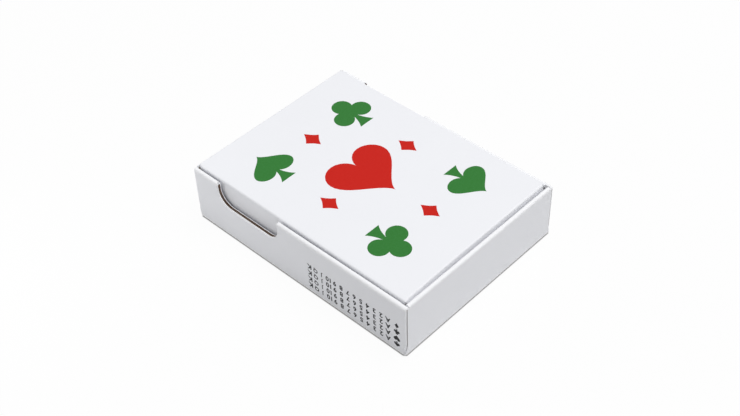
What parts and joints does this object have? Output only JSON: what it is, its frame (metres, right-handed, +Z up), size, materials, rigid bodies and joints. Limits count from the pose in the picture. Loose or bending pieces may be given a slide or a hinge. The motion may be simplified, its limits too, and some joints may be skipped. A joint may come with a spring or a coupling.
{
  "type": "playing card deck",
  "caption": "Flat folded board box with rolled double walls, finger notches and a hinged tuck-in lid with side flaps, holding a loose stack of round-cornered playing cards.",
  "frame": {"origin": "middle of the box's underside", "axes": "+Z up, +Y from the front wall where the lid tucks in to the back wall with the lid's fold, +X across the width to the right of the front"},
  "size_m": [0.071, 0.093, 0.0217],
  "materials": {
    "board": "smooth white coated board with a brown core, satin",
    "card_stock": "smooth white playing card stock, satin"
  },
  "bodies": {
    "tray": {"floor_and_back": "board", "left_wall": "board", "right_wall": "board", "front_wall": "board"},
    "lid": {"lid_panel": "board"},
    "tuck": {"tuck_flap": "board"},
    "left_flap": {"left_ear": "board"},
    "right_flap": {"right_ear": "board"},
    "deck": {"ace_of_spades": "card_stock", "two_of_spades": "card_stock", "three_of_spades": "card_stock", "four_of_spades": "card_stock", "five_of_spades": "card_stock", "six_of_spades": "card_stock", "seven_of_spades": "card_stock", "eight_of_spades": "card_stock", "nine_of_spades": "card_stock", "ten_of_spades": "card_stock", "jack_of_spades": "card_stock", "queen_of_spades": "card_stock", "king_of_spades": "card_stock", "ace_of_diamonds": "card_stock", "two_of_diamonds": "card_stock", "three_of_diamonds": "card_stock", "four_of_diamonds": "card_stock", "five_of_diamonds": "card_stock", "six_of_diamonds": "card_stock", "seven_of_diamonds": "card_stock", "eight_of_diamonds": "card_stock", "nine_of_diamonds": "card_stock", "ten_of_diamonds": "card_stock", "jack_of_diamonds": "card_stock", "queen_of_diamonds": "card_stock", "king_of_diamonds": "card_stock", "ace_of_clubs": "card_stock", "two_of_clubs": "card_stock", "three_of_clubs": "card_stock", "four_of_clubs": "card_stock", "five_of_clubs": "card_stock", "six_of_clubs": "card_stock", "seven_of_clubs": "card_stock", "eight_of_clubs": "card_stock", "nine_of_clubs": "card_stock", "ten_of_clubs": "card_stock", "jack_of_clubs": "card_stock", "queen_of_clubs": "card_stock", "king_of_clubs": "card_stock", "ace_of_hearts": "card_stock", "two_of_hearts": "card_stock", "three_of_hearts": "card_stock", "four_of_hearts": "card_stock", "five_of_hearts": "card_stock", "six_of_hearts": "card_stock", "seven_of_hearts": "card_stock", "eight_of_hearts": "card_stock", "nine_of_hearts": "card_stock", "ten_of_hearts": "card_stock", "jack_of_hearts": "card_stock", "queen_of_hearts": "card_stock", "king_of_hearts": "card_stock"}
  },
  "joints": [
    {"name": "lid_hinge", "type": "hinge", "parent": "tray", "child": "lid", "pos_m": [0, 0.0465, 0.0217], "axis": [-1, 0, 0], "range_deg": [0, 180]},
    {"name": "tuck_crease", "type": "hinge", "parent": "lid", "child": "tuck", "pos_m": [0, -0.04415, 0.0217], "axis": [-1, 0, 0], "range_deg": [0, 30]},
    {"name": "left_ear_crease", "type": "hinge", "parent": "lid", "child": "left_flap", "pos_m": [-0.0334, 0, 0.0217], "axis": [0, 1, 0], "range_deg": [0, 20]},
    {"name": "right_ear_crease", "type": "hinge", "parent": "lid", "child": "right_flap", "pos_m": [0.0334, 0, 0.0217], "axis": [0, -1, 0], "range_deg": [0, 20]},
    {"name": "deck_lift", "type": "slide", "parent": "tray", "child": "deck", "axis": [0, 0, 1], "range_m": [0, 0.002]}
  ],
  "couplings": [
    {"joint": "tuck_crease", "follows": "lid_hinge", "ratio": 0.16666},
    {"joint": "left_ear_crease", "follows": "lid_hinge", "ratio": 0.1111},
    {"joint": "right_ear_crease", "follows": "lid_hinge", "ratio": 0.1111}
  ]
}
